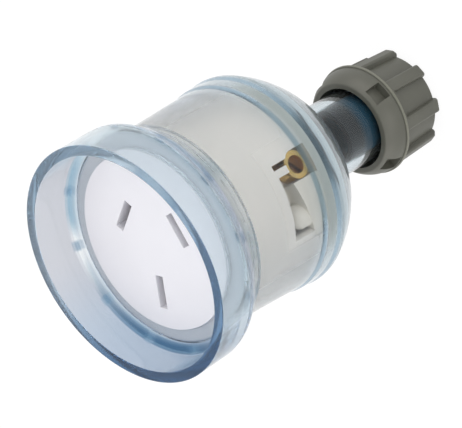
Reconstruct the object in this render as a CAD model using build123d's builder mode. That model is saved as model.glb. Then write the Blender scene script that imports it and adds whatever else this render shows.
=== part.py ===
"""Clear rewirable three-pin extension socket, standing on the end of its cord-grip nut with the face up.

Units are millimetres. Z = 0 is the end of the nut, the object's axis is Z and the earth slot is towards -Y.
"""

import os
from math import acos, cos, degrees, radians, sin, sqrt

from build123d import *

# Clearances between pieces
slide_gap = 0.3
fit_gap = 0.1
tiny = 1e-4

# Pin pattern on the face: two line blades in an inverted V above an upright earth blade
line_pin_reach = 7.92
earth_pin_reach = 10.31
slot_length = 6.8
slot_width = 1.85
neutral_angle = 30
active_angle = 150
earth_angle = 270
poles = [
    ("active", active_angle, line_pin_reach, active_angle + 90),
    ("neutral", neutral_angle, line_pin_reach, neutral_angle + 90),
    ("earth", earth_angle, earth_pin_reach, earth_angle),
]

# White insert
insert_radius = 17.85
insert_wall = 1.65
face_clearance = 0.2
flange_width = 1.35
flange_thickness = 1.5
face_proud = 0.2
face_plate = 3.5
wall_depth = 23.3
pocket_length = 7.4
pocket_width = 4.2
pocket_wall = 1.2
pocket_depth = 14.0
bay_centre = -23.5
bay_width = 43
bay_height = 8.9
slit_offset = 1.3

# Retaining ring behind the terminals
retainer_thickness = 2.4
retainer_width = 4.65
tongue_height = 4.3
tongue_tilt = 15
sleeve_wall = 1.0
sleeve_height = 7.2
sleeve_overlap = 12
post_radius = 2.35
post_inset = 2.55
post_angle = -32.5
post_length = 7.5
post_flat = 0.2

# Terminals and contacts
terminal_radius = 2.6
terminal_bore = 1.7
terminal_length = 8.3
terminal_inset = 0.55
terminal_lift = 0.7
terminal_floor = 1.2
wire_hole_radius = 1.6
wire_hole_inset = 5.3
screw_length = 3.0
screw_recess = 1.0
screw_gap = 0.05
screw_slot_width = 0.7
screw_slot_depth = 0.8
screw_slot_turn = 35
leaf_thickness = 0.6
leaf_width = 6.0
jaw_gap = 0.5
jaw_lead = 2.4
jaw_pinch = 0.85
jaw_flare = 1.5
jaw_foot = 1.1
tail_thickness = 0.8
tail_inset = 3.0

# Clear rear cover
cover_wall = 2.3
body_draft = 0.6
front_ring_width = 3.66
front_ring_step = 0.33
rear_ring_width = 1.28
rear_ring_step = 0.25
ring_slope = 1.1
dome_bulge = 1.67
dome_wall = 2.0
end_gap = 2.605
neck_radius = 7.6
neck_wall = 1.7
neck_exposed = 12.87
neck_fillet = 2.5
ring_round = 2.0
spigot_wall = 1.55
spigot_length = 2.8

# Clear front shroud
collar_wall = 0.95
collar_length = 3.65
collar_gap = 0.15
shroud_overhang = 3.25
shroud_back_flat = 0.05
shroud_wall = 2.1
ledge_thickness = 1.8
cup_depth = 9.33
rim_round = 0.15
cup_corner = 0.2
tooth_count = 12
tooth_start = 15
tooth_width = 1.5
tooth_height = 1.2

# Cord-grip nut
ridge_height = 11.3
bell_length = 4.3
ridge_band = 1.1
ridge_step = 1.6
bead_width = 0.7
bead_height = 0.35
bell_bulge = 0.45
nut_wall = 1.8
nut_taper = 0.5
mouth_gap = 0.7
mouth_lip = 1.0
mouth_round = 0.45
neck_end_height = 5.8
cord_hole_radius = 4.3
cord_hole_length = 2.6
rib_count = 8
rib_start = 4
rib_width = 2.6
rib_height = 1.2
rib_lead = 0.6
rib_round = 0.5
window_count = 4
window_start = 49
window_width = 3.5
window_lift = 0.4
window_margin = 0.7
window_floor = 0.9
nut_end_chamfer = 0.5

# Grip collet inside the neck
collet_wall = 1.05
collet_top_drop = 6.5
collet_head_step = 1.6
collet_rim = 0.6
collet_tip_wall = 0.8
collet_slit_count = 4
collet_slit_width = 0.9
collet_slit_length = 9.0

# Radii that follow from the sizes above
face_radius = insert_radius - face_clearance
ledge_radius = face_radius + fit_gap
flange_radius = insert_radius + flange_width
cover_bore = insert_radius + slide_gap
spigot_radius = cover_bore + spigot_wall
collar_bore = spigot_radius + slide_gap
collar_radius = collar_bore + collar_wall
shroud_radius = collar_radius + shroud_overhang
shroud_corner = shroud_overhang - shroud_back_flat
cup_radius = shroud_radius - shroud_wall
body_front_radius = cover_bore + cover_wall
body_rear_radius = body_front_radius + body_draft
front_ring_radius = body_rear_radius + front_ring_step
rear_ring_radius = front_ring_radius + rear_ring_step
dome_radius = rear_ring_radius + dome_bulge
inner_dome_radius = dome_radius - dome_wall
neck_bore = neck_radius - neck_wall
collet_radius = neck_bore - slide_gap
collet_bore = collet_radius - collet_wall
collet_head_radius = collet_radius + collet_head_step
collet_tip_radius = collet_bore + collet_tip_wall
nut_bore = neck_radius + slide_gap
barrel_radius = nut_bore + nut_wall
barrel_end_radius = barrel_radius - nut_taper
ridge_radius = barrel_radius + ridge_step
bell_radius = ridge_radius - bead_height
mouth_bore = neck_radius + mouth_gap
mouth_radius = mouth_bore + mouth_lip
retainer_bore = insert_radius - retainer_width
post_reach = insert_radius - post_inset
terminal_outer_reach = insert_radius - terminal_inset
terminal_inner_reach = terminal_outer_reach - terminal_length
wire_hole_reach = terminal_outer_reach - wire_hole_inset

# Angles of the bays and of the tongues in them, counted from each pole
bay_low = bay_centre - bay_width / 2
bay_high = bay_centre + bay_width / 2
tongue_low = bay_low + degrees(fit_gap / retainer_bore)
sleeve_low = bay_low - sleeve_overlap

# Heights, stacked upwards from the end of the nut
nut_length = ridge_height + bell_length
window_length = bell_length - window_lift - window_margin
dome_foot_z = nut_length + neck_exposed
dome_centre_z = dome_foot_z + sqrt(dome_radius**2 - neck_radius**2)
dome_shoulder_z = dome_centre_z - sqrt(dome_radius**2 - rear_ring_radius**2)
rear_ring_z = dome_shoulder_z + rear_ring_width
front_ring_z = rear_ring_z + front_ring_width
dome_floor_z = dome_centre_z - sqrt(inner_dome_radius**2 - insert_radius**2)
insert_end_z = dome_floor_z + end_gap + retainer_thickness
flange_z = insert_end_z + wall_depth
cover_shoulder_z = flange_z - spigot_length
ledge_z = flange_z + flange_thickness
cup_floor_z = ledge_z + ledge_thickness
face_z = cup_floor_z + face_proud
rim_z = cup_floor_z + cup_depth
collar_end_z = cover_shoulder_z + collar_gap
shroud_back_z = collar_end_z + collar_length
plate_back_z = face_z - face_plate
terminal_z = insert_end_z + terminal_lift + terminal_radius
pocket_end_z = plate_back_z - pocket_depth
foot_z = pocket_end_z - leaf_thickness
tail_top_z = foot_z + leaf_thickness / 2
slit_top_z = tail_top_z + fit_gap
collet_top_z = dome_foot_z - collet_top_drop
collet_head_z = neck_end_height - slide_gap
collet_cone_z = collet_head_z - collet_rim
collet_end_z = cord_hole_length + slide_gap
ridge_low_z = ridge_height - ridge_band


def half_section(points):
    """A face from a closed outline of (radius, height) points, ready to be turned about the axis."""
    with BuildSketch(Plane.XZ) as section:
        with BuildLine():
            Polyline(*points, close=True)
        make_face()
    return section.sketch


def radial_plane(angle, reach, height):
    """A plane that looks outwards along a radius: local x runs round the axis and local y runs up."""
    outward = (cos(radians(angle)), sin(radians(angle)), 0)
    around = (-sin(radians(angle)), cos(radians(angle)), 0)
    origin = (outward[0] * reach, outward[1] * reach, height)
    return Plane(origin=origin, x_dir=around, z_dir=outward)


def across_plane(angle, offset, height):
    """A plane that holds the axis direction and a radius: local x runs outwards and local y runs up."""
    outward = (cos(radians(angle)), sin(radians(angle)), 0)
    around = (-sin(radians(angle)), cos(radians(angle)), 0)
    origin = (around[0] * offset, around[1] * offset, height)
    return Plane(origin=origin, x_dir=outward, z_dir=(-around[0], -around[1], 0))


def pin_location(angle, reach, turn):
    """The centre of a blade on the face, turned so that local x runs along the blade."""
    return Location((reach * cos(radians(angle)), reach * sin(radians(angle)), 0), (0, 0, turn))


def jaw_plane(angle, reach, turn):
    """A plane across a blade: local x runs from one jaw to the other and local y runs up."""
    along = (cos(radians(turn)), sin(radians(turn)), 0)
    across = (-along[1], along[0], 0)
    origin = (reach * cos(radians(angle)), reach * sin(radians(angle)), 0)
    return Plane(origin=origin, x_dir=across, z_dir=along)


def dome_arc(radius, inner, outer):
    """The lower stretch of a circle about the dome's centre, between two distances from the axis."""
    start = -degrees(acos(inner / radius))
    end = -degrees(acos(outer / radius))
    CenterArc((0, dome_centre_z), radius, start, end - start)


def sector(angle, low, high, inner, outer):
    """A face between two radii and two angles, counted from a pole's own angle."""
    with BuildSketch() as face:
        with BuildLine():
            edge = CenterArc((0, 0), 2 * outer, angle + low, high - low)
            Polyline(edge @ 0, (0, 0), edge @ 1)
        make_face()
        Circle(outer, mode=Mode.INTERSECT)
        Circle(inner, mode=Mode.SUBTRACT)
    return face.sketch


def beside_terminal(angle, low, inner, outer):
    """A sector from one angle up to the flank of the pole's own terminal."""
    with BuildSketch() as face:
        add(sector(angle, low, 0, inner, outer))
        with Locations(Location((0, 0, 0), (0, 0, angle))):
            Rectangle(4 * outer, 2 * (terminal_radius + fit_gap), mode=Mode.SUBTRACT)
    return face.sketch


def circles_at(piece, radius, height):
    """The round edges of a piece that lie at one radius and one height."""
    circles = piece.edges().filter_by(GeomType.CIRCLE)
    circles = circles.filter_by(lambda edge: abs(edge.radius - radius) < tiny)
    return circles.filter_by(lambda edge: abs(edge.center().Z - height) < tiny)


def save(piece, name):
    """Label a finished piece and write it as its own file."""
    piece.part.label = name
    export_step(piece.part, f"parts/{name}.step")
    print(name, "volume", round(piece.part.volume, 1))


os.makedirs("parts", exist_ok=True)

# Front shroud: a cup whose floor is an open ledge, with a collar behind it and teeth under the ledge
with BuildPart() as shroud:
    outline = [
        (shroud_radius, rim_z),
        (shroud_radius, shroud_back_z),
        (collar_radius, shroud_back_z),
        (collar_radius, collar_end_z),
        (collar_bore, collar_end_z),
        (collar_bore, ledge_z),
        (ledge_radius, ledge_z),
        (ledge_radius, cup_floor_z),
        (cup_radius, cup_floor_z),
        (cup_radius, rim_z),
    ]
    revolve(half_section(outline), axis=Axis.Z)
    fillet(circles_at(shroud, shroud_radius, shroud_back_z), shroud_corner)
    fillet(circles_at(shroud, cup_radius, cup_floor_z), cup_corner)
    fillet(shroud.edges().filter_by(GeomType.CIRCLE).group_by(Axis.Z)[-1], rim_round)
    with BuildSketch(Plane.XY.offset(ledge_z)):
        tooth_depth = collar_bore - flange_radius - fit_gap
        with PolarLocations(collar_bore, tooth_count, start_angle=tooth_start):
            Rectangle(2 * tooth_depth, tooth_width)
    extrude(amount=-tooth_height)
save(shroud, "shroud")

# Rear cover: threaded spigot, tapered body, two stepped rings, dome and neck, all one hollow moulding
with BuildPart() as rear_cover:
    inner_neck_z = dome_centre_z - sqrt(inner_dome_radius**2 - neck_bore**2)
    inner_dome_z = dome_centre_z - sqrt(inner_dome_radius**2 - cover_bore**2)
    with BuildSketch(Plane.XZ):
        with BuildLine():
            Polyline(
                (neck_bore, inner_neck_z),
                (neck_bore, neck_end_height),
                (neck_radius, neck_end_height),
                (neck_radius, dome_foot_z),
            )
            dome_arc(dome_radius, neck_radius, rear_ring_radius)
            Polyline(
                (rear_ring_radius, dome_shoulder_z),
                (rear_ring_radius, rear_ring_z - ring_slope / 2),
                (front_ring_radius, rear_ring_z + ring_slope / 2),
                (front_ring_radius, front_ring_z - ring_slope / 2),
                (body_rear_radius, front_ring_z + ring_slope / 2),
                (body_front_radius, cover_shoulder_z),
                (spigot_radius, cover_shoulder_z),
                (spigot_radius, flange_z),
                (cover_bore, flange_z),
                (cover_bore, inner_dome_z),
            )
            dome_arc(inner_dome_radius, neck_bore, cover_bore)
        make_face()
    revolve(axis=Axis.Z)
    fillet(circles_at(rear_cover, neck_radius, dome_foot_z), neck_fillet)
    fillet(circles_at(rear_cover, rear_ring_radius, dome_shoulder_z), ring_round)
save(rear_cover, "rear_cover")

# White insert: face with three slots, flange, skirt and three contact pockets, open to the rear
with BuildPart() as socket_insert:
    outline = [
        (0, face_z),
        (face_radius, face_z),
        (face_radius, ledge_z),
        (flange_radius, ledge_z),
        (flange_radius, flange_z),
        (insert_radius, flange_z),
        (insert_radius, insert_end_z),
        (insert_radius - insert_wall, insert_end_z),
        (insert_radius - insert_wall, plate_back_z),
        (0, plate_back_z),
    ]
    revolve(half_section(outline), axis=Axis.Z)
    for pole, angle, reach, turn in poles:
        with BuildSketch(Plane.XY.offset(plate_back_z)):
            with Locations(pin_location(angle, reach, turn)):
                Rectangle(pocket_length + 2 * pocket_wall, pocket_width + 2 * pocket_wall)
                Rectangle(pocket_length, pocket_width, mode=Mode.SUBTRACT)
        extrude(amount=-pocket_depth)
        with BuildSketch(Plane.XY.offset(face_z)):
            with Locations(pin_location(angle, reach, turn)):
                Rectangle(slot_length, slot_width)
        extrude(amount=-face_plate, mode=Mode.SUBTRACT)
        with BuildSketch(radial_plane(angle, insert_radius - 2 * insert_wall, terminal_z)):
            Circle(terminal_radius + fit_gap)
            with Locations((0, -terminal_radius)):
                Rectangle(2 * (terminal_radius + fit_gap), 2 * terminal_radius)
            with Locations((slit_offset, 0)):
                slit_width = tail_thickness + 2 * fit_gap
                Rectangle(slit_width, slit_top_z - terminal_z, align=(Align.CENTER, Align.MIN))
        extrude(amount=3 * insert_wall, mode=Mode.SUBTRACT)
        with BuildSketch(Plane.XY.offset(insert_end_z)):
            add(sector(angle, bay_low, bay_high, insert_radius - 2 * insert_wall, 2 * insert_radius))
        extrude(amount=bay_height, mode=Mode.SUBTRACT)
save(socket_insert, "socket_insert")

# Retaining ring: closes the skirt and fills each bay with a slanted tongue, a round-ended post and a sleeve
with BuildPart() as terminal_retainer:
    with BuildSketch(Plane.XY.offset(insert_end_z)):
        Circle(insert_radius)
        Circle(retainer_bore, mode=Mode.SUBTRACT)
    extrude(amount=-retainer_thickness)
    for pole, angle, reach, turn in poles:
        with BuildSketch(Plane.XY.offset(insert_end_z)):
            add(beside_terminal(angle, tongue_low, retainer_bore, insert_radius - fit_gap))
        extrude(amount=2 * tongue_height)
        tongue_top = radial_plane(angle + post_angle, 0, insert_end_z + tongue_height)
        with BuildSketch(tongue_top):
            cut_height = 4 * tongue_height
            Rectangle(insert_radius, cut_height, rotation=tongue_tilt, align=(Align.CENTER, Align.MIN))
        extrude(amount=2 * insert_radius, mode=Mode.SUBTRACT)
    with BuildSketch(Plane.XY.offset(insert_end_z)):
        for pole, angle, reach, turn in poles:
            with PolarLocations(post_reach, 1, start_angle=angle + post_angle):
                Circle(post_radius)
    extrude(amount=post_length)
    post_rims = terminal_retainer.edges().filter_by(GeomType.CIRCLE).group_by(Axis.Z)[-1]
    fillet(post_rims, post_radius - post_flat)
    with BuildSketch(Plane.XY.offset(insert_end_z)):
        for pole, angle, reach, turn in poles:
            add(sector(angle, sleeve_low, 0, retainer_bore, retainer_bore + sleeve_wall))
    extrude(amount=sleeve_height)
    for pole, angle, reach, turn in poles:
        with BuildSketch(radial_plane(angle, 0, terminal_z)):
            Circle(terminal_radius + fit_gap)
            clear_height = terminal_z - insert_end_z
            Rectangle(2 * (terminal_radius + fit_gap), clear_height, align=(Align.CENTER, Align.MAX))
        extrude(amount=insert_radius, mode=Mode.SUBTRACT)
save(terminal_retainer, "terminal_retainer")

# Brass on each pole: a folded spring contact, a radial terminal barrel and its slotted clamping screw
for pole, angle, reach, turn in poles:
    with BuildPart() as contact:
        with BuildSketch(jaw_plane(angle, reach, turn)):
            with BuildLine():
                Polyline(
                    (0, foot_z),
                    (jaw_foot, foot_z),
                    (jaw_pinch, plate_back_z - jaw_gap - jaw_lead),
                    (jaw_flare, plate_back_z - jaw_gap),
                )
                mirror(about=Plane.YZ)
            trace(line_width=leaf_thickness)
        extrude(amount=leaf_width / 2, both=True)
        with BuildSketch(across_plane(angle, slit_offset, terminal_z)):
            tail_start = reach - jaw_foot
            tail_end = insert_radius - tail_inset
            with Locations((tail_start, 0)):
                Rectangle(tail_end - tail_start, tail_top_z - terminal_z, align=(Align.MIN, Align.MIN))
        extrude(amount=tail_thickness / 2, both=True)
        with BuildSketch(radial_plane(angle, 0, terminal_z)):
            Circle(terminal_radius + screw_gap)
        extrude(amount=insert_radius, mode=Mode.SUBTRACT)
    save(contact, f"{pole}_contact")

    with BuildPart() as terminal:
        with BuildSketch(radial_plane(angle, terminal_inner_reach, terminal_z)):
            Circle(terminal_radius)
        extrude(amount=terminal_outer_reach - terminal_inner_reach)
        with BuildSketch(radial_plane(angle, terminal_inner_reach + terminal_floor, terminal_z)):
            Circle(terminal_bore)
        extrude(amount=terminal_outer_reach - terminal_inner_reach, mode=Mode.SUBTRACT)
        with BuildSketch(Plane.XY.offset(terminal_z)):
            with PolarLocations(wire_hole_reach, 1, start_angle=angle):
                Circle(wire_hole_radius)
        extrude(amount=-2 * terminal_radius, mode=Mode.SUBTRACT)
    save(terminal, f"{pole}_terminal")

    with BuildPart() as screw:
        head_plane = radial_plane(angle, terminal_outer_reach - screw_recess, terminal_z)
        with BuildSketch(head_plane):
            Circle(terminal_bore - screw_gap)
        extrude(amount=-screw_length)
        with BuildSketch(head_plane):
            Rectangle(2 * terminal_bore, screw_slot_width, rotation=screw_slot_turn)
        extrude(amount=-screw_slot_depth, mode=Mode.SUBTRACT)
    save(screw, f"{pole}_screw")

# Grip collet: a split sleeve in the neck, with a tapered head that the nut presses on
with BuildPart() as grip_collet:
    outline = [
        (collet_bore, collet_top_z),
        (collet_radius, collet_top_z),
        (collet_radius, collet_head_z),
        (collet_head_radius, collet_head_z),
        (collet_head_radius, collet_cone_z),
        (collet_tip_radius, collet_end_z),
        (collet_bore, collet_end_z),
    ]
    revolve(half_section(outline), axis=Axis.Z)
    with BuildSketch(Plane.XY.offset(collet_end_z)):
        with PolarLocations(collet_radius, collet_slit_count):
            Rectangle(2 * collet_radius - 2 * collet_slit_width, collet_slit_width)
    extrude(amount=collet_slit_length, mode=Mode.SUBTRACT)
save(grip_collet, "grip_collet")

# One grip rib of the nut, lying along +X, with its two crests rounded
with BuildPart() as rib:
    with BuildSketch(Plane.XZ):
        with BuildLine():
            Polyline(
                (barrel_end_radius - nut_wall / 2, nut_end_chamfer),
                (barrel_end_radius + rib_height - rib_lead, 0),
                (barrel_end_radius + rib_height, rib_lead),
                (barrel_radius + rib_height, ridge_low_z),
                (barrel_radius - nut_wall / 2, ridge_low_z),
                close=True,
            )
        make_face()
    extrude(amount=rib_width / 2, both=True)
    side_edges = rib.edges().filter_by(lambda edge: abs(edge.center().Y) > rib_width / 2 - tiny)
    crest_edges = side_edges.filter_by(lambda edge: edge.center().X > barrel_end_radius + rib_height / 2)
    fillet(crest_edges, rib_round)

# Cord-grip nut: ribbed barrel, ridge, bell mouth with four shallow windows, and a cord hole in its end
with BuildPart() as cord_nut:
    with BuildSketch(Plane.XZ):
        with BuildLine():
            SagittaArc((bell_radius, ridge_height), (mouth_radius, nut_length), -bell_bulge)
            Polyline(
                (mouth_radius, nut_length),
                (mouth_bore, nut_length),
                (mouth_bore, ridge_height),
                (nut_bore, ridge_height),
                (nut_bore, collet_cone_z),
                (collet_tip_radius + slide_gap, cord_hole_length),
                (cord_hole_radius, cord_hole_length),
                (cord_hole_radius, 0),
                (barrel_end_radius - nut_end_chamfer, 0),
                (barrel_end_radius, nut_end_chamfer),
                (barrel_radius, ridge_low_z),
                (bell_radius, ridge_low_z),
                (bell_radius, ridge_height - bead_width),
            )
            SagittaArc((bell_radius, ridge_height - bead_width), (bell_radius, ridge_height), -bead_height)
        make_face()
    revolve(axis=Axis.Z)
    fillet(circles_at(cord_nut, mouth_radius, nut_length), mouth_round)
    with PolarLocations(0, rib_count, start_angle=rib_start):
        add(rib.part)
    for number in range(window_count):
        window_angle = window_start + number * 360 / window_count
        window_z = ridge_height + window_lift + window_length / 2
        with BuildSketch(radial_plane(window_angle, mouth_bore + window_floor, window_z)):
            Rectangle(window_width, window_length)
        extrude(amount=ridge_radius, mode=Mode.SUBTRACT)
save(cord_nut, "cord_nut")
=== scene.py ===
# %% [markdown]
# # A clear extension socket
# The real object is the end of a mains extension lead: a clear cup around a white slotted face, a clear
# domed body that shows the brass terminals, and a grey ribbed nut that grips the cord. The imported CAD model
# is loaded first and fixes every place and size. Each step then gives one piece its finished form or
# surface.

# %% Load the frame
import math
from types import SimpleNamespace

import bpy
from mathutils import Matrix, Vector


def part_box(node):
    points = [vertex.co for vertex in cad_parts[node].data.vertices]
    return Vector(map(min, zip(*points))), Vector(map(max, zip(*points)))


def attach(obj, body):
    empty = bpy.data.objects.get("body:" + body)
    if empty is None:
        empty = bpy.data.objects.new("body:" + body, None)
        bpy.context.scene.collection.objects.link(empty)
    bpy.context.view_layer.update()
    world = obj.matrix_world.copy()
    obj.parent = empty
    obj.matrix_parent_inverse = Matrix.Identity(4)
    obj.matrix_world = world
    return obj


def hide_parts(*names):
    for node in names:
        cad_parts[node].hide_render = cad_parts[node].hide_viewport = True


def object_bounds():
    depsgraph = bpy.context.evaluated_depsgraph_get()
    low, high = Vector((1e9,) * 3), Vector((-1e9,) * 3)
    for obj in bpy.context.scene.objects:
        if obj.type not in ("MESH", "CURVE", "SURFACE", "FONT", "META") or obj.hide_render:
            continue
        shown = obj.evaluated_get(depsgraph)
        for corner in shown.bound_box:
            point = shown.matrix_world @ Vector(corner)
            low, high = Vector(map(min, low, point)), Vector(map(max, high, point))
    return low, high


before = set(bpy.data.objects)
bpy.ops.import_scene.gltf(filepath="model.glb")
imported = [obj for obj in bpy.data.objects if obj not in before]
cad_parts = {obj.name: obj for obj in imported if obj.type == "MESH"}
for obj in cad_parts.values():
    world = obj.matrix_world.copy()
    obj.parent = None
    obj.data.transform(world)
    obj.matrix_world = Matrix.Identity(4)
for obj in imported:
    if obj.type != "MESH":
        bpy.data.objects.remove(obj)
cad_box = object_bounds()
scene = bpy.context.scene
print("CAD nodes:", ", ".join(sorted(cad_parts)))

# %% [markdown]
# ## Millimetres and selections
# Sizes below are written in millimetres, as on a drawing, and Blender works in metres. Operators act on
# everything that is selected, and the loaded CAD nodes are selected at first, so each step starts by
# deselecting all.

# %% Units and selection
MM = 0.001


def deselect_all():
    """Leave edit mode if need be and deselect every object."""
    if bpy.context.object and bpy.context.object.mode != "OBJECT":
        bpy.ops.object.mode_set(mode="OBJECT")
    bpy.ops.object.select_all(action="DESELECT")


deselect_all()
print("CAD size in mm:", [round((high - low) / MM, 1) for low, high in zip(*cad_box)])

# %% [markdown]
# ## Camera
# The photo was taken with a long lens from above the face, with the camera rolled over, so that the socket
# seems to lie on its side. The camera's place was worked out from the three slots, whose pattern is a
# standard one, and from the outlines of the round parts. Its axes are given as two directions, because a
# rolled camera is hard to read from three angles.

# %% Camera
camera_place = Vector((471.53, 299.78, 502.05)) * MM
camera_right = Vector((0.7294, -0.1343, -0.6709))
camera_up = Vector((-0.1980, 0.8972, -0.3949))
camera_back = camera_right.cross(camera_up)
camera_turn = Matrix((camera_right, camera_up, camera_back)).transposed()
camera_data = bpy.data.cameras.new("photo_camera")
camera_data.lens = 298.7
camera_data.sensor_width = 36
camera = bpy.data.objects.new("photo_camera", camera_data)
camera.matrix_world = Matrix.Translation(camera_place) @ camera_turn.to_4x4()
scene.collection.objects.link(camera)
scene.camera = camera
print("camera stands", round(camera_place.length / MM), "mm from the end of the nut")

# %% [markdown]
# ## Light paths
# A ray that looks through both clear mouldings crosses eight surfaces or more before it meets something
# white. Blender's usual limits would end such a ray in black, so they are raised. The Standard view shows a
# colour as it is written, with no film curve on it.

# %% Light paths
light_bounces = 24
scene.cycles.max_bounces = light_bounces
scene.cycles.glossy_bounces = light_bounces
scene.cycles.transmission_bounces = light_bounces
scene.cycles.transparent_max_bounces = light_bounces
scene.view_settings.view_transform = "Standard"
print("a ray may bounce", light_bounces, "times")

# %% [markdown]
# ## Colours and nodes
# Colours are chosen as sRGB hex values, as a colour picker shows them, and shaders want linear values. One
# function turns the one into the other. A second one adds a node, sets its options and feeds its inputs, so
# that a material reads as a list of its nodes.


# %% Colour and node helpers
def linear(hex_colour):
    """A linear RGBA colour from an sRGB hex value."""
    values = []
    for start in (1, 3, 5):
        part = int(hex_colour[start:start + 2], 16) / 255
        values.append(part / 12.92 if part <= 0.04045 else ((part + 0.055) / 1.055) ** 2.4)
    return (*values, 1)


def add_node(tree, kind, options, inputs):
    """Add a node, set its options, then set each input or link it to an output socket."""
    node = tree.nodes.new(kind)
    for name, value in options.items():
        setattr(node, name, value)
    for name, value in inputs.items():
        if isinstance(value, bpy.types.NodeSocket):
            tree.links.new(value, node.inputs[name])
        else:
            node.inputs[name].default_value = value
    return node


def new_tree(owner):
    """Switch an owner's nodes on and empty them."""
    owner.use_nodes = True
    owner.node_tree.nodes.clear()
    return owner.node_tree


print("middle grey in linear light:", round(linear("#808080")[0], 3))

# %% [markdown]
# ## Studio
# The socket stands on a white paper sweep in soft light. A sheet lit up to pure white would throw so much
# light back that the object turned pale. So the paper is a plain light grey for the light that falls on the
# object, and only rays from the eye, and those that the clear plastic bends or mirrors, see it glow white.
# It still catches a faint shadow. The room around it follows the same rule.


# %% What the eye sees
def seen_by_eye(tree):
    """A mask for rays from the eye, mirrored and bent ones too, until they meet something matt."""
    path = add_node(tree, "ShaderNodeLightPath", {}, {})
    bent = add_node(tree, "ShaderNodeMath", {"operation": "MAXIMUM"},
                    {0: path.outputs["Is Glossy Ray"], 1: path.outputs["Is Transmission Ray"]})
    seen = add_node(tree, "ShaderNodeMath", {"operation": "MAXIMUM"},
                    {0: path.outputs["Is Camera Ray"], 1: bent.outputs[0]})
    direct = add_node(tree, "ShaderNodeMath", {"operation": "LESS_THAN"},
                      {0: path.outputs["Diffuse Depth"], 1: 0.5})
    mask = add_node(tree, "ShaderNodeMath", {"operation": "MULTIPLY"},
                    {0: seen.outputs[0], 1: direct.outputs[0]})
    return mask.outputs[0]


# %% Floor
floor_size = 8000 * MM
floor_gap = 0.05 * MM
paper_glow = 0.92
deselect_all()
bpy.ops.mesh.primitive_plane_add(size=floor_size, location=(0, 0, -floor_gap))
floor = bpy.context.object
floor.name = "floor"
# White paper: the eye sees an even, matt white with a soft grey shadow under the object.
paper_sweep = bpy.data.materials.new("white_paper_sweep")
tree = new_tree(paper_sweep)
paper = add_node(tree, "ShaderNodeBsdfDiffuse", {}, {"Color": linear("#c8c8c8")})
shadow_catcher = add_node(tree, "ShaderNodeBsdfDiffuse", {}, {"Color": linear("#606060")})
glow = add_node(tree, "ShaderNodeEmission", {}, {"Color": (1, 1, 1, 1), "Strength": paper_glow})
lit_paper = add_node(tree, "ShaderNodeAddShader", {}, {0: shadow_catcher.outputs[0], 1: glow.outputs[0]})
sweep = add_node(tree, "ShaderNodeMixShader", {},
                 {0: seen_by_eye(tree), 1: paper.outputs[0], 2: lit_paper.outputs[0]})
add_node(tree, "ShaderNodeOutputMaterial", {}, {"Surface": sweep.outputs[0]})
floor.data.materials.append(paper_sweep)
print("floor lies", round(floor_gap / MM, 2), "mm under the nut")

# %% World
room_strength = 0.95
world = bpy.data.worlds.new("studio_white")
scene.world = world
tree = new_tree(world)
room = add_node(tree, "ShaderNodeBackground", {}, {"Color": (1, 1, 1, 1), "Strength": room_strength})
white = add_node(tree, "ShaderNodeBackground", {}, {"Color": (1, 1, 1, 1), "Strength": 1})
studio = add_node(tree, "ShaderNodeMixShader", {},
                  {0: seen_by_eye(tree), 1: room.outputs[0], 2: white.outputs[0]})
add_node(tree, "ShaderNodeOutputWorld", {}, {"Surface": studio.outputs[0]})
print("the room gives", room_strength, "of full white")

# %% [markdown]
# ## Softboxes
# White moulding behind clear plastic gets less light than bare white moulding. Four weak softboxes stand
# around the socket, so that the body is light enough through the cover and nothing clips to white when the
# front is drawn out. Each is a square area lamp that faces the middle of the object.

# %% Softboxes
lamp_distance = 600 * MM
middle = (Vector(cad_box[0]) + Vector(cad_box[1])) / 2
# Each has a name, a direction from the middle, a size in metres, watts and a colour.
softboxes = [
    ("key_softbox", (-0.05, 0.9, 0.1), 0.45, 1.3, "#fff7f2"),
    ("top_softbox", (-0.3, 0.1, 1.0), 0.5, 0.25, "#f0f2ff"),
    ("side_softbox", (0.9, 0.0, 0.0), 0.5, 1.4, "#fff7f2"),
    ("low_softbox", (0.5, -0.9, 0.0), 0.5, 1.2, "#fff7f2"),
]
for name, towards, size, watts, colour in softboxes:
    lamp_data = bpy.data.lights.new(name, "AREA")
    lamp_data.size = size
    lamp_data.energy = watts
    lamp_data.color = linear(colour)[:3]
    lamp = bpy.data.objects.new(name, lamp_data)
    direction = Vector(towards).normalized()
    lamp.location = middle + direction * lamp_distance
    lamp.rotation_euler = direction.to_track_quat("Z", "Y").to_euler()
    scene.collection.objects.link(lamp)
    print(name, watts, "W")

# %% [markdown]
# ## Places, zones and coats
# The finishes change over a piece: a blue is deeper on one side, a ledge is darker, a ridge is paler. Some
# coats are the moulding's own colour, and some are painted shade and painted highlight, laid where shade lies
# or light catches, so the materials change by place. Object coordinates give each spot's place in the shared
# frame, here in millimetres. A zone is a mask between given heights, radii or turns, with soft edges, and a
# colour is built up as a painter does, by coats that each cover one zone.


# %% Places on a piece
def new_finish(name):
    """A new material with an empty tree, and an output for each spot's place in millimetres."""
    material = bpy.data.materials.new(name)
    tree = new_tree(material)
    spot = add_node(tree, "ShaderNodeTexCoord", {}, {})
    place = add_node(tree, "ShaderNodeVectorMath", {"operation": "SCALE"},
                     {"Vector": spot.outputs["Object"], "Scale": 1 / MM})
    return material, tree, place.outputs[0]


def round_places(tree, place):
    """Outputs for a spot's x, y and z and for its radius, the distance from the socket's axis."""
    parts = add_node(tree, "ShaderNodeSeparateXYZ", {}, {0: place})
    across = add_node(tree, "ShaderNodeCombineXYZ", {}, {0: parts.outputs["X"], 1: parts.outputs["Y"]})
    radius = add_node(tree, "ShaderNodeVectorMath", {"operation": "LENGTH"}, {0: across.outputs[0]})
    return SimpleNamespace(x=parts.outputs["X"], y=parts.outputs["Y"], z=parts.outputs["Z"],
                           radius=radius.outputs["Value"])


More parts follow.
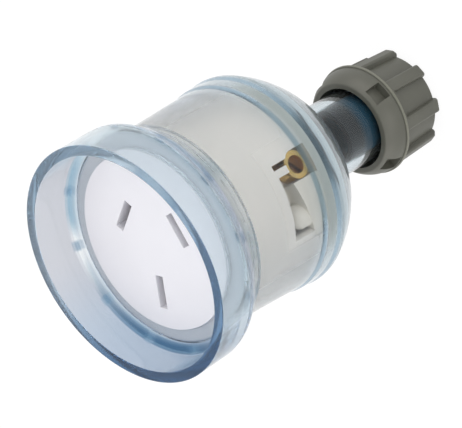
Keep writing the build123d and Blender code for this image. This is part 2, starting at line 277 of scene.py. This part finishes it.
def turn_from_nearest(tree, at, first_degrees, count):
    """How far, in radians, a spot is turned from the nearest of some even places round the axis."""
    turned = add_node(tree, "ShaderNodeMath", {"operation": "ARCTAN2"}, {0: at.y, 1: at.x})
    from_first = add_node(tree, "ShaderNodeMath", {"operation": "SUBTRACT"},
                          {0: turned.outputs[0], 1: math.radians(first_degrees)})
    from_nearest = add_node(tree, "ShaderNodeMath", {"operation": "PINGPONG"},
                            {0: from_first.outputs[0], 1: math.pi / count})
    return from_nearest.outputs[0]


# %% Zones and coats
def zone(tree, *limits, full=1.0):
    """A mask that is full inside every limit and fades to 0 outside.

    A limit is an output, the value at which the mask is still 0 and the value at which it is full.
    """
    mask = full
    for value, outside, inside in limits:
        edge = add_node(tree, "ShaderNodeMapRange", {"interpolation_type": "SMOOTHSTEP"},
                        {"Value": value, "From Min": outside, "From Max": inside, "To Max": mask})
        mask = edge.outputs[0]
    return mask


def paint(tree, colour, *coats):
    """Lay coats over a colour, one after another. A coat is a mask and a colour, as hex or an output."""
    colour = linear(colour) if isinstance(colour, str) else colour
    for mask, coat in coats:
        coat = linear(coat) if isinstance(coat, str) else coat
        mixed = add_node(tree, "ShaderNodeMix", {"data_type": "RGBA"}, {0: mask, 6: colour, 7: coat})
        colour = mixed.outputs[2]
    return colour


# %% [markdown]
# ## Clear plastic
# Both clear mouldings are a little blue: a thin wall looks colourless, and a long way through it, as along
# a rim, looks slate blue. So part of the colour isn't painted on the surface: a volume inside takes red
# light out with distance. Each moulding keeps to one material, because a ray that goes in through one
# material and comes out through another would stay tinted for the rest of its way. Lamps shine through by a
# plain transparent shader, because shadows of bent light need far more samples.


# %% Clear plastic shader
def finish_clear(tree, place, colour, roughness, clarity, ior, glint, wave, tint):
    """Join a clear plastic's shaders.

    wave is the size and height in millimetres of the skin's slow waves, and tint is what is left of white
    light after some millimetres of the plastic.
    """
    wave_size, wave_height = wave
    waves = add_node(tree, "ShaderNodeTexNoise", {},
                     {"Vector": place, "Scale": 1 / wave_size, "Detail": 1.0})
    bump = add_node(tree, "ShaderNodeBump", {},
                    {"Height": waves.outputs["Fac"], "Strength": 1.0, "Distance": wave_height * MM})
    plastic = add_node(tree, "ShaderNodeBsdfPrincipled", {},
                       {"Base Color": colour, "Roughness": roughness, "IOR": ior,
                        "Transmission Weight": clarity, "Specular Tint": linear(glint),
                        "Normal": bump.outputs[0]})
    through = add_node(tree, "ShaderNodeBsdfTransparent", {}, {"Color": linear("#ffffff")})
    path = add_node(tree, "ShaderNodeLightPath", {}, {})
    surface = add_node(tree, "ShaderNodeMixShader", {},
                       {0: path.outputs["Is Shadow Ray"], 1: plastic.outputs[0], 2: through.outputs[0]})
    tint_colour, tint_depth = tint
    lost = [-math.log(part) / (tint_depth * MM) for part in linear(tint_colour)[:3]]
    # The volume takes out density * (1 - colour), and the part that it takes out most keeps some colour.
    least_kept = 0.2
    density = max(lost) / (1 - least_kept)
    kept = [1 - part / density for part in lost]
    inside = add_node(tree, "ShaderNodeVolumeAbsorption", {}, {"Color": (*kept, 1), "Density": density})
    add_node(tree, "ShaderNodeOutputMaterial", {},
             {"Surface": surface.outputs[0], "Volume": inside.outputs[0]})
    print("clear plastic takes out", [round(part * MM, 3) for part in lost], "of R, G and B per mm")


# %% [markdown]
# ## Soft clear PVC
# The shroud is moulded in soft PVC, which gives a little as a plug goes in. Such PVC has a blue cast that
# is deeper where the moulding is thick, and it is never quite even. One tint all over would look like glass,
# so the tint is laid in coats: a greyer side, painted shade in slate blue on the lower side and on the rim's
# side away from the light, a near-white coat over the white flange that is painted light, the ledge with its
# cloudy blue, and the teeth under it. The sizes of the cup come first, since the zones follow them.

# %% Shroud sizes
shroud_low, shroud_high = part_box("shroud")
rim_z = shroud_high.z / MM
collar_end_z = shroud_low.z / MM
shroud_radius = shroud_high.x / MM
cup_depth = 9.33
ledge_thickness = 1.759
shroud_wall = 2.1
shroud_overhang = 3.25
collar_length = 3.65
collar_wall = 0.95
ledge_radius = 17.75
cup_radius = shroud_radius - shroud_wall
collar_radius = shroud_radius - shroud_overhang
collar_bore = collar_radius - collar_wall
cup_floor_z = rim_z - cup_depth
ledge_z = cup_floor_z - ledge_thickness
shroud_back_z = collar_end_z + collar_length
print("shroud is", round(2 * shroud_radius, 1), "mm across and", round(rim_z - collar_end_z, 1), "mm long")

# %% Shroud teeth and groove sizes
tooth_count = 12
tooth_start = 15
tooth_half_turn = 2
tooth_reach = 0.65
tooth_height = 0.85
groove_depth = 0.6
groove_height = 0.42
groove_radius = collar_bore + groove_depth
tooth_top_z = ledge_z - groove_height
tooth_end_z = tooth_top_z - tooth_height
print(tooth_count, "teeth from", round(tooth_end_z, 2), "to", round(tooth_top_z, 2), "mm")

# %% Soft clear PVC
# Clear soft PVC, moulded: the eye sees a pale blue haze, slate blue in the rim and ledge, partly the
# plastic's own blue and partly painted shade, and soft, wavy glints.
clear_pvc, tree, place = new_finish("clear_soft_pvc")
at = round_places(tree, place)
cloud_size = 13
cloud_noise = add_node(tree, "ShaderNodeTexNoise", {},
                       {"Vector": place, "Scale": 1 / cloud_size, "Detail": 1.0})
clouds = add_node(tree, "ShaderNodeMapRange", {},
                  {"Value": cloud_noise.outputs["Fac"], "From Min": 0.4, "From Max": 0.6}).outputs[0]
grey_side = zone(tree, (at.x, -6, -20))
# Painted shade: the lower side of the cup and of the ledge is painted darker and bluer.
shaded_side = zone(tree, (at.y, -6, -23))
below_cup = (at.z, cup_floor_z + 0.5, cup_floor_z + 0.1)
# Painted light: over the white flange the PVC is painted near-white, so that the shaded flange under it looks
# bright.
light_over_flange = zone(tree, below_cup, (at.radius, collar_bore + 0.8, collar_bore))
ledge = zone(tree, below_cup, (at.radius, collar_bore, collar_bore + 1.6))
ledge_tint_and_shade = paint(tree, "#a3c0d2", (clouds, "#f6f9fa"), (shaded_side, "#406a8e"))
teeth = zone(tree, (at.radius, collar_bore - 0.02, collar_bore - 0.1),
             (at.z, tooth_top_z + 0.06, tooth_top_z + 0.02))
from_tooth = turn_from_nearest(tree, at, tooth_start, tooth_count)
mark_edge = math.radians(1.6 * tooth_half_turn)
tooth_marks = zone(tree, (from_tooth, mark_edge, mark_edge / 2),
                   (at.z, cup_floor_z + 0.92, cup_floor_z + 0.32),
                   (at.radius, cup_radius - 1.1, cup_radius - 0.6), full=0.7)
rim = zone(tree, (at.z, rim_z - 0.2, rim_z - 0.05))
# The rim is pale blue, and painted shade makes it slate blue on its side away from the light.
across_rim = add_node(tree, "ShaderNodeMath", {"operation": "SUBTRACT"}, {0: at.x, 1: at.y}).outputs[0]
rim_tint_and_shade = paint(tree, "#cfe3f1", (zone(tree, (across_rim, -20, 24)), "#5580ae"))
print("the zones of the soft PVC take", len(tree.nodes), "nodes")

# %% Soft clear PVC, joined
colour = paint(tree, "#e6eff3", (grey_side, "#d6d7dd"), (shaded_side, "#bac7d8"), (light_over_flange, "#fdfeff"),
               (ledge, ledge_tint_and_shade), (teeth, "#5f86a3"), (tooth_marks, "#7397b3"), (rim, rim_tint_and_shade))
pressed = zone(tree, (at.radius, collar_bore + 0.3, collar_bore + 0.1),
               (at.z, cup_floor_z - 0.03, cup_floor_z - 0.13))
roughness = add_node(tree, "ShaderNodeMapRange", {}, {"Value": pressed, "To Min": 0.07, "To Max": 0.12})
finish_clear(tree, place, colour, roughness.outputs[0], clarity=0.94, ior=1.53, glint="#c0c0c0",
             wave=(9, 0.02), tint=("#d6e0e8", 12))

# %% [markdown]
# ## Clear polycarbonate
# The rear cover is hard polycarbonate, polished outside. Inside, the mould's core leaves the bore a little
# matt, and less so in front of the bays. That matters more than it seems: a bore as smooth as glass mirrors
# the dark inside along the whole edge of the body, and a slightly matt one shows the white insert evenly.
# The wall is painted blue-grey where the rings step up, as painted shade, and it is greyer in the thick dome.

# %% Rear cover radii
cover_low, cover_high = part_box("rear_cover")
ring_step = 0.25
body_step = 0.33
body_taper = 0.6
spigot_step = 0.75
spigot_wall = 1.55
dome_radius = 23.3
dome_wall = 2.0
neck_radius = 7.6
neck_wall = 1.7
rear_ring_radius = cover_high.x / MM
front_ring_radius = rear_ring_radius - ring_step
body_rear_radius = front_ring_radius - body_step
body_front_radius = body_rear_radius - body_taper
spigot_radius = body_front_radius - spigot_step
cover_bore = spigot_radius - spigot_wall
neck_bore = neck_radius - neck_wall
print("rear cover is", round(2 * rear_ring_radius, 1), "mm across and", round(2 * cover_bore, 1), "mm inside")

# %% Rear cover heights
spigot_gap = 0.039
spigot_length = 2.8
body_length = 18.155
front_ring_length = 3.66
rear_ring_length = 0.73
step_slope = 1.1
neck_end_z = cover_low.z / MM
cover_top_z = cover_high.z / MM
spigot_end_z = cover_top_z - spigot_gap
body_front_z = cover_top_z - spigot_length
front_step_z = body_front_z - body_length
rear_step_z = front_step_z - front_ring_length
shoulder_z = rear_step_z - rear_ring_length
dome_z = shoulder_z + math.sqrt(dome_radius ** 2 - rear_ring_radius ** 2)
dome_foot_z = dome_z - math.sqrt(dome_radius ** 2 - neck_radius ** 2)
print("rear cover runs from", round(neck_end_z, 2), "to", round(spigot_end_z, 2), "mm")

# %% Clear polycarbonate colour
# Clear polycarbonate, moulded and polished: the eye looks straight through it, and sees blue-grey lines at
# the steps, which are painted shade, and a soft haze over what lies close behind.
clear_polycarbonate, tree, place = new_finish("clear_polycarbonate")
at = round_places(tree, place)
haze_size = 10
haze = add_node(tree, "ShaderNodeTexNoise", {},
                {"Vector": place, "Scale": 1 / haze_size, "Detail": 1.0}).outputs["Fac"]
thick_end = zone(tree, (at.z, 47.0, 45.0))
colour = paint(tree, "#fefefe", (haze, "#f7f9fa"), (thick_end, "#dae2e5"))
# Painted shade: a blue-grey band along each step of the rings.
for step_z in (rear_step_z, front_step_z):
    step_end_z = step_z + step_slope
    step_shade = zone(tree, (at.z, step_z - 0.25, step_z + 0.35), (at.z, step_end_z + 0.3, step_end_z - 0.3),
                     (at.radius, body_front_radius - 0.45, body_front_radius + 0.05))
    colour = paint(tree, colour, (step_shade, "#9bb8cb"))
    print("blue-grey band from", round(step_z, 2), "to", round(step_end_z, 2), "mm")

# %% Clear polycarbonate roughness
bay_middle = 17
bay_count = 3
matt_at_bay = 0.35
matt_in_dome = 0.5
matt_on_spigot = 0.3
from_bay = turn_from_nearest(tree, at, bay_middle, bay_count)
beside_bay = zone(tree, (from_bay, math.radians(24), math.radians(38)))
ahead_of_bay = zone(tree, (at.z, 53.2, 58.0))
away = add_node(tree, "ShaderNodeMath", {"operation": "MAXIMUM"}, {0: beside_bay, 1: ahead_of_bay})
in_body = add_node(tree, "ShaderNodeMapRange", {},
                   {"Value": away.outputs[0], "To Min": matt_at_bay, "To Max": 1.0})
in_bore = add_node(tree, "ShaderNodeMix", {},
                   {0: zone(tree, (at.z, 46.0, 47.5)), 2: matt_in_dome, 3: in_body.outputs[0]})
bore_matt = zone(tree, (at.z, dome_foot_z + 1.0, dome_foot_z + 2.5),
                 (at.radius, cover_bore + 0.25, cover_bore + 0.05), full=in_bore.outputs[0])
spigot_matt = zone(tree, (at.z, body_front_z + 0.02, body_front_z + 0.12), full=matt_on_spigot)
matt = add_node(tree, "ShaderNodeMath", {"operation": "MAXIMUM"}, {0: bore_matt, 1: spigot_matt})
roughness = add_node(tree, "ShaderNodeMapRange", {},
                     {"Value": matt.outputs[0], "To Min": 0.04, "To Max": 0.4})
finish_clear(tree, place, colour, roughness.outputs[0], clarity=0.99, ior=1.57, glint="#8c8c8c",
             wave=(12, 0.012), tint=("#dde3e8", 10))

# %% [markdown]
# ## Moulded plastics
# The white insert, the retainer behind it, the collet and the nut are opaque mouldings. Each has a faint
# grain from the mould's surface and slow clouds of a second shade, because no moulded batch is one flat
# colour. Real mould grain is some 0.05 mm wide, too fine to show here, so it is drawn several times
# coarser.


# %% Moulded plastic shader
def cloudy_colour(tree, place, colour, shade, size, detail):
    """A colour with clouds of a second shade, about one size in millimetres."""
    clouds = add_node(tree, "ShaderNodeTexNoise", {},
                      {"Vector": place, "Scale": 1 / size, "Detail": detail})
    return paint(tree, colour, (clouds.outputs["Fac"], shade))


def finish_moulded(tree, place, colour, roughness, grain_size, grain_height):
    """Join an opaque moulded plastic's shader, with a grain of a size and height in millimetres."""
    grain = add_node(tree, "ShaderNodeTexNoise", {},
                     {"Vector": place, "Scale": 1 / grain_size, "Detail": 2.0})
    bump = add_node(tree, "ShaderNodeBump", {},
                    {"Height": grain.outputs["Fac"], "Strength": 1.0, "Distance": grain_height * MM})
    plastic = add_node(tree, "ShaderNodeBsdfPrincipled", {},
                       {"Base Color": colour, "Roughness": roughness, "IOR": 1.5, "Normal": bump.outputs[0]})
    add_node(tree, "ShaderNodeOutputMaterial", {}, {"Surface": plastic.outputs[0]})
    print("moulded plastic with a grain of", grain_size, "mm")


# %% White thermoset
# White thermoset, pressed hot in a steel mould: the eye sees an even satin white. The face and the skirt are
# one colour, and painted light makes the face cooler, for the cool light that falls on it, and the skirt
# warmer, against the cool light that reaches it through the cover. The hollow inside is painted dark, as
# painted shade, where little light gets in through the bays, and the flange under the ledge is painted
# brighter, as painted light.
skirt_bore = 16.2
hollow_core = 13.9
hollow_top_z = 66.4
white_thermoset, tree, place = new_finish("white_thermoset_moulding")
at = round_places(tree, place)
# Painted light: the face is painted cooler and the skirt warmer, though they are one moulding.
cool_lit_face_colour = cloudy_colour(tree, place, "#efeef3", "#eae9ee", 6, 3.0)
warm_lit_skirt_colour = cloudy_colour(tree, place, "#f3f1eb", "#edebe4", 6, 3.0)
face_end = zone(tree, (at.z, 66.0, 68.5))
# Painted shade: the hollow inside is painted dark, where little light gets in.
hollow_shade = zone(tree, (at.radius, skirt_bore + 1.2, skirt_bore), (at.radius, hollow_core - 0.3, hollow_core),
              (at.z, hollow_top_z + 0.2, hollow_top_z))
# Painted light: the flange and its lip under the ledge are painted brighter, against the shade of the ledge
# over them.
flange_light = zone(tree, (at.radius, ledge_radius + 0.15, ledge_radius + 0.25),
              (at.z, tooth_top_z, tooth_top_z + 0.3))
colour = paint(tree, warm_lit_skirt_colour, (face_end, cool_lit_face_colour), (hollow_shade, "#1c1a15"), (flange_light, "#f8fafd"))
finish_moulded(tree, place, colour, 0.5, 0.35, 0.004)

# %% White nylon
# White nylon, moulded: the eye sees a satin white that is a little creamier than the insert around it.
white_nylon, tree, place = new_finish("white_nylon_moulding")
colour = cloudy_colour(tree, place, "#efece2", "#e8e5da", 6, 3.0)
finish_moulded(tree, place, colour, 0.5, 0.35, 0.004)

# %% Grey nylon
# Warm grey nylon, moulded with a coarser grain: the eye sees a dull grey with broad, soft highlights, and a
# paler ridge, which is a painted highlight along its edge.
ridge_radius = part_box("cord_nut")[1].x / MM
grey_nylon, tree, place = new_finish("grey_nylon_moulding")
at = round_places(tree, place)
colour = cloudy_colour(tree, place, "#5f6057", "#51524a", 5, 4.0)
# Painted highlight: the ridge is painted paler, where light catches its edge.
ridge_highlight = zone(tree, (at.radius, ridge_radius - 0.25, ridge_radius))
colour = paint(tree, colour, (ridge_highlight, "#747569"))
finish_moulded(tree, place, colour, 0.45, 0.5, 0.012)

# %% Blue-black nylon
# Blue-black nylon, moulded: the eye sees a dark sleeve through the neck. Towards the nut it is painted deep
# teal, as painted shade in the neck's blue, where the nut's mouth keeps the light off.
dark_nylon, tree, place = new_finish("blue_black_nylon_moulding")
at = round_places(tree, place)
colour = cloudy_colour(tree, place, "#16181d", "#101318", 4, 2.0)
# Painted shade: deep teal towards the nut, where the nut's mouth shades the sleeve.
nut_shade = zone(tree, (at.z, 19.0, 16.5))
colour = paint(tree, colour, (nut_shade, "#034a63"))
finish_moulded(tree, place, colour, 0.5, 3.0, 0.01)

# %% [markdown]
# ## Brass
# The contacts are folded from rolled strip, the terminal barrels are turned from rod, and the screws are
# coloured a dark brown. All three are bare brass, so one function makes them: a metal whose colour wanders
# between a clean and a tarnished shade. They differ in those shades and in how sharp their highlights are.


# %% Brass
tarnish_size = 1.5


def brass_finish(name, clean, tarnished, roughness):
    """Bare brass with uneven tarnish."""
    material, tree, place = new_finish(name)
    colour = cloudy_colour(tree, place, clean, tarnished, tarnish_size, 4.0)
    metal = add_node(tree, "ShaderNodeBsdfPrincipled", {},
                     {"Base Color": colour, "Metallic": 1.0, "Roughness": roughness})
    add_node(tree, "ShaderNodeOutputMaterial", {}, {"Surface": metal.outputs[0]})
    print(name, "with roughness", roughness)
    return material


# Rolled strip: the eye sees a soft, greyish gold.
strip_brass = brass_finish("rolled_brass_strip", "#c9a862", "#a8854a", 0.35)
# Turned rod: the eye sees a bright yellow ring with sharp glints.
turned_brass = brass_finish("turned_brass_rod", "#f0cf88", "#d6ad64", 0.25)
# Screws, coloured dark brown: the eye sees a dark brown disc in the ring.
dark_screw_brass = brass_finish("dark_brown_screw_brass", "#8a6238", "#5c3d22", 0.45)

# %% [markdown]
# ## Finishes on the CAD nodes
# The insert, the retainer, the brass, the collet and the nut already have their true form in the CAD model,
# with slots, ribs and round edges. They stay as they are and get their finish. The two clear mouldings are
# modelled again below, because clear plastic shows every corner radius twice, from outside and from inside.

# %% Finishes on the CAD nodes
finishes = {
    "shroud": clear_pvc,
    "rear_cover": clear_polycarbonate,
    "socket_insert": white_thermoset,
    "terminal_retainer": white_nylon,
    "grip_collet": dark_nylon,
    "cord_nut": grey_nylon,
}
for pole in ("active", "neutral", "earth"):
    finishes[f"{pole}_contact"] = strip_brass
    finishes[f"{pole}_terminal"] = turned_brass
    finishes[f"{pole}_screw"] = dark_screw_brass
for name, finish in finishes.items():
    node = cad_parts[name]
    node.data.materials.clear()
    node.data.materials.append(finish)
    print(name, "gets", finish.name)

# %% [markdown]
# ## Round pieces
# The clear mouldings are round, so each starts as an outline on one side of the axis. A cylinder with
# insets could make them too, but an outline reads like the drawing of the mould. Its corners have their own
# radii, and each arc has a short support edge beside it, which keeps the shading of the flats even. The
# outline is traced with extruded points and then spun about the axis. A finished piece is told which body
# it moves with and which CAD nodes it stands for.


# %% Outlines
def soft_outline(corners, steps=5, support=0.05):
    """Points of a closed outline from (radius, height, corner radius) corners."""
    points = []
    for number, (x, z, radius) in enumerate(corners):
        here = Vector((x, z))
        if radius == 0:
            points.append(here)
            continue
        to_last = (Vector(corners[number - 1][:2]) - here).normalized()
        to_next = (Vector(corners[(number + 1) % len(corners)][:2]) - here).normalized()
        half = to_last.angle(to_next) / 2
        reach = radius / math.tan(half)
        centre = here + (to_last + to_next).normalized() * (radius / math.sin(half))
        start = here + to_last * reach - centre
        end = here + to_next * reach - centre
        points.append(centre + start + to_last * support)
        for step in range(steps + 1):
            points.append(centre + start.slerp(end, step / steps) * radius)
        points.append(centre + end + to_next * support)
    return points


def arc_points(centre_z, radius, first, last, steps):
    """Corners along a circle about a point of the axis, between two distances from the axis."""
    start = -math.acos(first / radius)
    end = -math.acos(last / radius)
    corners = []
    for step in range(steps + 1):
        angle = start + (end - start) * step / steps
        corners.append((radius * math.cos(angle), centre_z + radius * math.sin(angle), 0))
    return corners


# %% Spin
smooth_angle = math.radians(32)
weld_distance = 0.001 * MM
round_steps = 180


def spin_outline(name, points, steps):
    """Trace an outline with extruded points, then spin it into a closed round piece."""
    deselect_all()
    bpy.ops.mesh.primitive_plane_add(size=1 * MM)
    piece = bpy.context.object
    piece.name = name
    bpy.ops.object.mode_set(mode="EDIT")
    bpy.ops.mesh.select_mode(type="VERT")
    bpy.ops.mesh.select_all(action="SELECT")
    bpy.ops.mesh.merge(type="CENTER")
    last = Vector((0, 0))
    for number, point in enumerate(points):
        step = (point - last) * MM
        move = (step.x, 0, step.y)
        if number == 0:
            bpy.ops.transform.translate(value=move)
        else:
            bpy.ops.mesh.extrude_region_move(TRANSFORM_OT_translate={"value": move})
        last = point
    bpy.ops.mesh.select_all(action="SELECT")
    bpy.ops.mesh.edge_face_add()
    bpy.ops.mesh.delete(type="ONLY_FACE")
    bpy.ops.mesh.select_all(action="SELECT")
    bpy.ops.mesh.spin(steps=steps, angle=2 * math.pi, center=(0, 0, 0), axis=(0, 0, 1))
    bpy.ops.mesh.select_all(action="SELECT")
    bpy.ops.mesh.remove_doubles(threshold=weld_distance)
    bpy.ops.mesh.normals_make_consistent(inside=False)
    bpy.ops.object.mode_set(mode="OBJECT")
    bpy.ops.object.shade_smooth_by_angle(angle=smooth_angle)
    print(name, "spun from", len(points), "points in", steps, "steps")
    return piece


# %% Pick and fit a piece
def pick(piece):
    """Make one object the only selected and active one."""
    deselect_all()
    piece.select_set(True)
    bpy.context.view_layer.objects.active = piece


def fit_piece(piece, material, body, slot, *nodes):
    """Give a finished piece its material, the body it rides on and the CAD nodes it stands for."""
    piece.data.materials.clear()
    piece.data.materials.append(material)
    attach(piece, body)
    if nodes:
        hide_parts(*nodes)
    print(piece.name, len(piece.data.polygons), "faces, in", material.name)


# %% [markdown]
# ## Shroud
# The shroud is the soft front cup that a plug goes into. Its floor is an open ledge around the white face,
# and a collar behind it goes over the cover's spigot. A groove under the ledge takes the lip of the white
# flange, and a ring of small teeth shows through the ledge. The cup is spun from its outline. The teeth
# could be blocks set into it, but here they are faces of the collar's bore that are pushed inwards, so that
# they are one piece with the cup, as in the mould.

# %% Shroud cup
rim_round = 0.15
back_round = 3.2
floor_round = 0.2
shroud_corners = [
    (shroud_radius, rim_z, rim_round),
    (shroud_radius, shroud_back_z, back_round),
    (collar_radius, shroud_back_z, 0),
    (collar_radius, collar_end_z, 0),
    (collar_bore, collar_end_z, 0),
    (collar_bore, tooth_end_z, 0),
    (collar_bore, tooth_top_z, 0),
    (groove_radius, tooth_top_z, 0),
    (groove_radius, ledge_z, 0),
    (ledge_radius, ledge_z, 0),
    (ledge_radius, cup_floor_z, 0),
    (cup_radius, cup_floor_z, floor_round),
    (cup_radius, rim_z, rim_round),
]
# A step is one degree, so that every tooth begins and ends on a step.
shroud_steps = 360
shroud = spin_outline("shroud_cup", soft_outline(shroud_corners), shroud_steps)

# %% Shroud teeth
pick(shroud)
bpy.ops.object.mode_set(mode="EDIT")
bpy.ops.mesh.select_mode(type="FACE")
bpy.ops.mesh.select_all(action="DESELECT")
bpy.ops.object.mode_set(mode="OBJECT")
tooth_pitch = 360 / tooth_count
same_radius = 0.05
for face in shroud.data.polygons:
    centre = face.center / MM
    from_axis = math.hypot(centre.x, centre.y)
    turned = math.degrees(math.atan2(centre.y, centre.x)) % tooth_pitch - tooth_start
    on_bore = abs(from_axis - collar_bore) < same_radius and tooth_end_z < centre.z < tooth_top_z
    face.select = on_bore and abs(turned) < tooth_half_turn
teeth_faces = sum(face.select for face in shroud.data.polygons)
bpy.ops.object.mode_set(mode="EDIT")
bpy.ops.mesh.extrude_region_shrink_fatten(TRANSFORM_OT_shrink_fatten={"value": tooth_reach * MM})
bpy.ops.object.mode_set(mode="OBJECT")
under_ledge = [vertex.co for vertex in shroud.data.vertices if vertex.co.z < tooth_top_z * MM]
inmost = min(math.hypot(spot.x, spot.y) for spot in under_ledge)
print("teeth made from", teeth_faces, "faces, reaching in to", round(inmost / MM, 2), "mm")

# %% [markdown]
# ## Shroud out of round
# A soft cup doesn't stay a true circle: this one leans a little and its rim has sagged to an oval. A
# lattice could do that by hand. Here each point is moved by a rule: the oval grows from nothing at the ledge
# to all of it at the rim, and the outer wall leans over its whole height. The collar and the ledge stay
# where they are, so that they still fit the cover and the face.

# %% Shroud out of round
lean_start_radius = cup_radius - 0.1
lean_full_radius = shroud_radius - 0.7
sag_start_z = ledge_z + 0.28
rim_lean_x = 0.4
rim_lean_y = -0.35
rim_shrink = 0.27
rim_oval = 0.8
oval_turn = math.radians(68)


def share(value, start, end):
    """How far a value is on its way from start to end, from 0 to 1."""
    return min(max((value - start) / (end - start), 0), 1)


for vertex in shroud.data.vertices:
    spot = vertex.co / MM
    angle = math.atan2(spot.y, spot.x)
    outer = share(math.hypot(spot.x, spot.y), lean_start_radius, lean_full_radius)
    rise = share(spot.z, sag_start_z, rim_z)
    lean = rise + outer * (1 - rise)
    spread = -rise * (rim_shrink + rim_oval * math.cos(2 * (angle - oval_turn)))
    vertex.co.x += (rim_lean_x * (rise + lean) + spread * math.cos(angle)) * MM
    vertex.co.y += (rim_lean_y * lean + spread * math.sin(angle)) * MM
fit_piece(shroud, clear_pvc, "front", "clear_shroud", "shroud")

# %% [markdown]
# ## Flange lip
# The white insert hangs from a flange that the shroud's ledge presses on the cover. Its thin upper lip
# reaches out into the groove under the ledge, and the lip, with the painted light on it and on the ledge over
# it, makes the clear ledge look pale around the face. It is a flat ring, so it is spun like the cup, a hair
# smaller than its groove.

# %% Flange lip
lip_gap = 0.05
lip_top_gap = 0.02
lip_round = 0.08
lip_support = 0.02
flange_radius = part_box("socket_insert")[1].x / MM
lip_radius = groove_radius - lip_gap
lip_low_z = tooth_top_z + lip_gap
lip_top_z = ledge_z - lip_top_gap
lip_corners = [
    (flange_radius, lip_low_z, 0),
    (lip_radius, lip_low_z, lip_round),
    (lip_radius, lip_top_z, lip_round),
    (flange_radius, lip_top_z, 0),
]
flange_lip = spin_outline("flange_lip", soft_outline(lip_corners, support=lip_support), round_steps)
fit_piece(flange_lip, white_thermoset, "front", "white_moulding")

# %% [markdown]
# ## Bay end walls
# Each opening in the insert's skirt ends in a short wall beside the round-ended post. It is a curved block
# as thick as the skirt. A cube is cut into slices, its points are moved onto the skirt's curve, and its
# edges are softened by a bevel. A piece cut out of a spun ring would be as true, and leave open ends to
# close. The block is modelled once, then copied and turned a third of the way round.

# %% One bay end wall
skirt_thickness = 1.64
skirt_middle = skirt_bore + skirt_thickness / 2
end_wall_turn = -13
end_wall_width = 3.9
end_wall_z = 50.12
end_wall_height = 5.28
end_wall_slices = 4
end_wall_bevel = 0.1 * MM
deselect_all()
bpy.ops.mesh.primitive_cube_add(size=1)
end_wall = bpy.context.object
end_wall.name = "bay_end_wall_1"
bpy.ops.object.mode_set(mode="EDIT")
bpy.ops.mesh.select_all(action="SELECT")
bpy.ops.mesh.subdivide(number_cuts=end_wall_slices)
bpy.ops.object.mode_set(mode="OBJECT")
for vertex in end_wall.data.vertices:
    across, along, up = vertex.co
    from_axis = skirt_middle + skirt_thickness * across
    angle = math.radians(end_wall_turn + end_wall_width * along)
    height = end_wall_z + end_wall_height * up
    vertex.co = Vector((from_axis * math.cos(angle), from_axis * math.sin(angle), height)) * MM
bevel = end_wall.modifiers.new("soft_edges", "BEVEL")
bevel.width = end_wall_bevel
bevel.segments = 2
bpy.ops.object.modifier_apply(modifier=bevel.name)
bpy.ops.object.shade_smooth_by_angle(angle=smooth_angle)
fit_piece(end_wall, white_thermoset, "front", "white_moulding")

# %% The other bay end walls
for number in range(2, bay_count + 1):
    pick(end_wall)
    bpy.ops.object.duplicate()
    copied_wall = bpy.context.object
    copied_wall.name = f"bay_end_wall_{number}"
    copied_wall.rotation_euler.z = 2 * math.pi * (number - 1) / bay_count
    bpy.ops.object.transform_apply(location=False, rotation=True, scale=False)
    fit_piece(copied_wall, white_thermoset, "front", "white_moulding")

# %% [markdown]
# ## Rear cover
# The cover is one hard clear moulding: neck, dome, two stepped rings, a slightly tapered body, and a spigot
# that the shroud's collar screws onto. Outside and inside are one closed outline, so the wall is solid and
# light bends through it as through the real one. The dome is a circle about a point of the axis, inside and
# outside. The thread on the spigot is drawn as two ridges, which look the same as a thread through the
# collar.

# %% Rear cover
neck_round = 0.3
neck_fillet = 2.5
fillet_reach = 9.8
dome_reach = 21.3
dome_steps = 30
bore_steps = 24
ring_round = 2.0
step_round = 0.4
thread_rise = 0.22
thread_round = 0.05
thread_slope = 0.3
thread_crest = 0.2
thread_start = 0.52
thread_pitch = 1.2
thread_corners = []
for ridge in range(2):
    ridge_z = body_front_z + thread_start + ridge * thread_pitch
    crest_z = ridge_z + thread_slope
    crest_end_z = crest_z + thread_crest
    thread_corners += [
        (spigot_radius, ridge_z, 0),
        (spigot_radius + thread_rise, crest_z, thread_round),
        (spigot_radius + thread_rise, crest_end_z, thread_round),
        (spigot_radius, crest_end_z + thread_slope, 0),
    ]
inner_dome_radius = dome_radius - dome_wall
cover_corners = [
    (neck_bore, neck_end_z, 0),
    (neck_radius, neck_end_z, neck_round),
    (neck_radius, dome_foot_z, neck_fillet),
    *arc_points(dome_z, dome_radius, fillet_reach, dome_reach, dome_steps),
    (rear_ring_radius, shoulder_z, ring_round),
    (rear_ring_radius, rear_step_z, step_round),
    (front_ring_radius, rear_step_z + step_slope, step_round),
    (front_ring_radius, front_step_z, step_round),
    (body_rear_radius, front_step_z + step_slope, step_round),
    (body_front_radius, body_front_z, 0),
    (spigot_radius, body_front_z, 0),
    *thread_corners,
    (spigot_radius, spigot_end_z, 0),
    (cover_bore, spigot_end_z, 0),
    *arc_points(dome_z, inner_dome_radius, cover_bore, neck_bore, bore_steps),
]
rear_cover = spin_outline("rear_cover_shell", soft_outline(cover_corners), round_steps)
fit_piece(rear_cover, clear_polycarbonate, "rear_cover", "clear_cover", "rear_cover")
